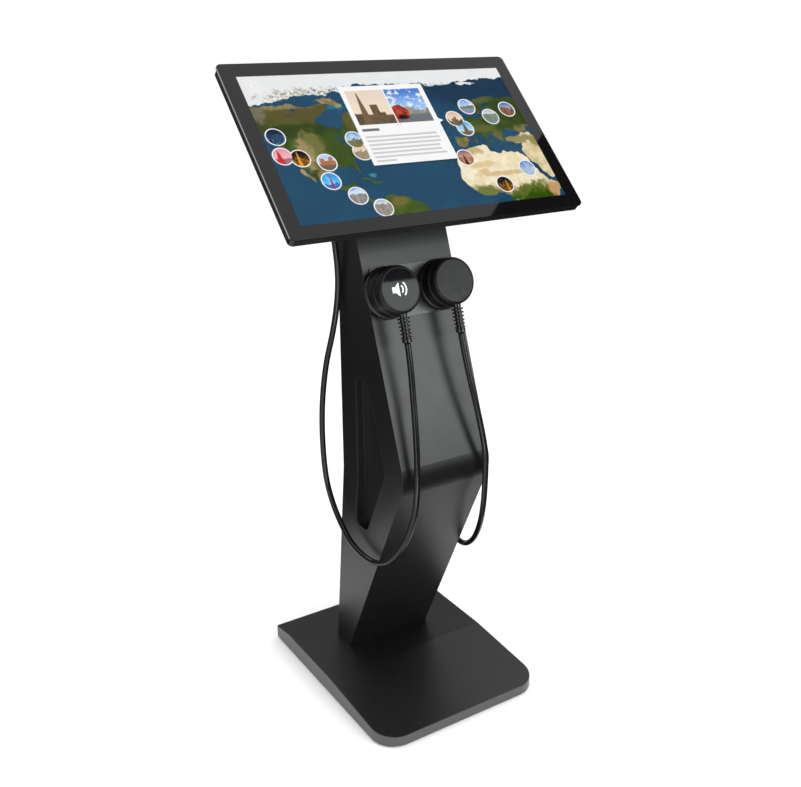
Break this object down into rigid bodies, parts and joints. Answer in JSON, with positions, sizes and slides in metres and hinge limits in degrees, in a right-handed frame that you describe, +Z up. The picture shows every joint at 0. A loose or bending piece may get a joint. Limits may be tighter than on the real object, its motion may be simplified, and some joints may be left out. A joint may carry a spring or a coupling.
{
  "type": "touchscreen kiosk",
  "caption": "Floor-standing touchscreen kiosk: tilted display on a kneed black steel column over a flat base, with corded ear cups held on a dock plate.",
  "frame": {"origin": "on the floor under the middle of the base", "axes": "+Z up, the visitor stands at -Y facing +Y, +X to the visitor's right"},
  "size_m": [0.5252, 0.404, 1.0753],
  "materials": {
    "black_powder_coat": "satin black powder coat, fine texture",
    "display_frame_black": "satin black frame",
    "front_glass": "clear toughened glass, black printed border, polished edge",
    "lcd_picture": "lit liquid crystal picture",
    "cup_black": "satin black moulded plastic",
    "badge_gloss": null,
    "cushion_leatherette": "black leatherette over foam",
    "grille_steel": "black coated perforated steel",
    "driver_unit": "dark plastic loudspeaker unit",
    "magnet_nickel": "nickel plate",
    "black_rubber": "moulded black rubber",
    "cord_black": "smooth glossy black cord jacket",
    "black_nylon": "black nylon",
    "zinc_steel": "zinc plated steel",
    "lock_chrome": "bright chrome plate",
    "circuit_board": "green circuit board with black chips",
    "player_case": "dark moulded case",
    "ribbed_aluminium": "dark anodised aluminium",
    "inlet_plastic": "black moulded plastic",
    "rocker_black": "gloss black plastic"
  },
  "bodies": {
    "stand": {"base_cover": "black_powder_coat", "column_shell": "black_powder_coat", "column_back_frame": "black_powder_coat", "recess_pan_left": "black_powder_coat", "recess_pan_right": "black_powder_coat", "latch_keeper": "black_powder_coat", "frame_hinge_leaves": "black_powder_coat", "display_rear_cover": "black_powder_coat", "display_head_plate": "black_powder_coat", "cup_dock_plate": "black_powder_coat", "display_frame": "display_frame_black", "touch_glass": "front_glass", "lcd_panel": "lcd_picture", "dock_magnets": "magnet_nickel", "base_feet": "black_rubber", "cord_left": "cord_black", "cord_right": "cord_black", "cord_gland_left": "black_nylon", "cord_gland_right": "black_nylon", "base_weight_plate": "zinc_steel", "base_spacers": "zinc_steel", "column_bolts": "zinc_steel", "column_foot_plate": "zinc_steel", "display_head_screws": "zinc_steel", "rear_cover_screws": "zinc_steel", "display_chassis_plate": "zinc_steel", "equipment_plate": "zinc_steel", "hinge_pins": "zinc_steel", "display_driver_board": "circuit_board", "touch_controller_board": "circuit_board", "media_player": "player_case", "loop_amplifier": "ribbed_aluminium", "power_supply": "ribbed_aluminium", "mains_inlet": "inlet_plastic"},
    "left_ear_cup": {"left_cup_ring": "cup_black", "left_cup_shell": "cup_black", "left_cup_keeper": "cup_black", "left_cup_badge": "badge_gloss", "left_cup_cushion": "cushion_leatherette", "left_cup_grille": "grille_steel", "left_cup_driver": "driver_unit", "left_strain_relief": "black_rubber"},
    "right_ear_cup": {"right_cup_ring": "cup_black", "right_cup_shell": "cup_black", "right_cup_keeper": "cup_black", "right_cup_cushion": "cushion_leatherette", "right_cup_grille": "grille_steel", "right_cup_driver": "driver_unit", "right_strain_relief": "black_rubber"},
    "rear_door": {"rear_door": "black_powder_coat", "door_hinge_leaves": "black_powder_coat", "lock_sleeve": "lock_chrome"},
    "door_lock": {"lock_plug_and_cam": "lock_chrome"},
    "mains_switch": {"power_rocker": "rocker_black"}
  },
  "joints": [
    {"name": "left_cup_lift", "type": "slide", "parent": "stand", "child": "left_ear_cup", "axis": [0, -0.9382, 0.346], "range_m": [0, 0.08]},
    {"name": "right_cup_lift", "type": "slide", "parent": "stand", "child": "right_ear_cup", "axis": [0, -0.9382, 0.346], "range_m": [0, 0.08]},
    {"name": "rear_door_hinge", "type": "hinge", "parent": "stand", "child": "rear_door", "pos_m": [-0.07, 0.06, 0.615], "axis": [0, 0, 1], "range_deg": [0, 110]},
    {"name": "door_lock_turn", "type": "hinge", "parent": "rear_door", "child": "door_lock", "pos_m": [0.05, 0.0555, 0.615], "axis": [0, -1, 0], "range_deg": [0, 90]},
    {"name": "switch_rock", "type": "hinge", "parent": "stand", "child": "mains_switch", "pos_m": [0, 0.081, 0.12586], "axis": [-1, 0, 0], "range_deg": [0, 16]}
  ]
}
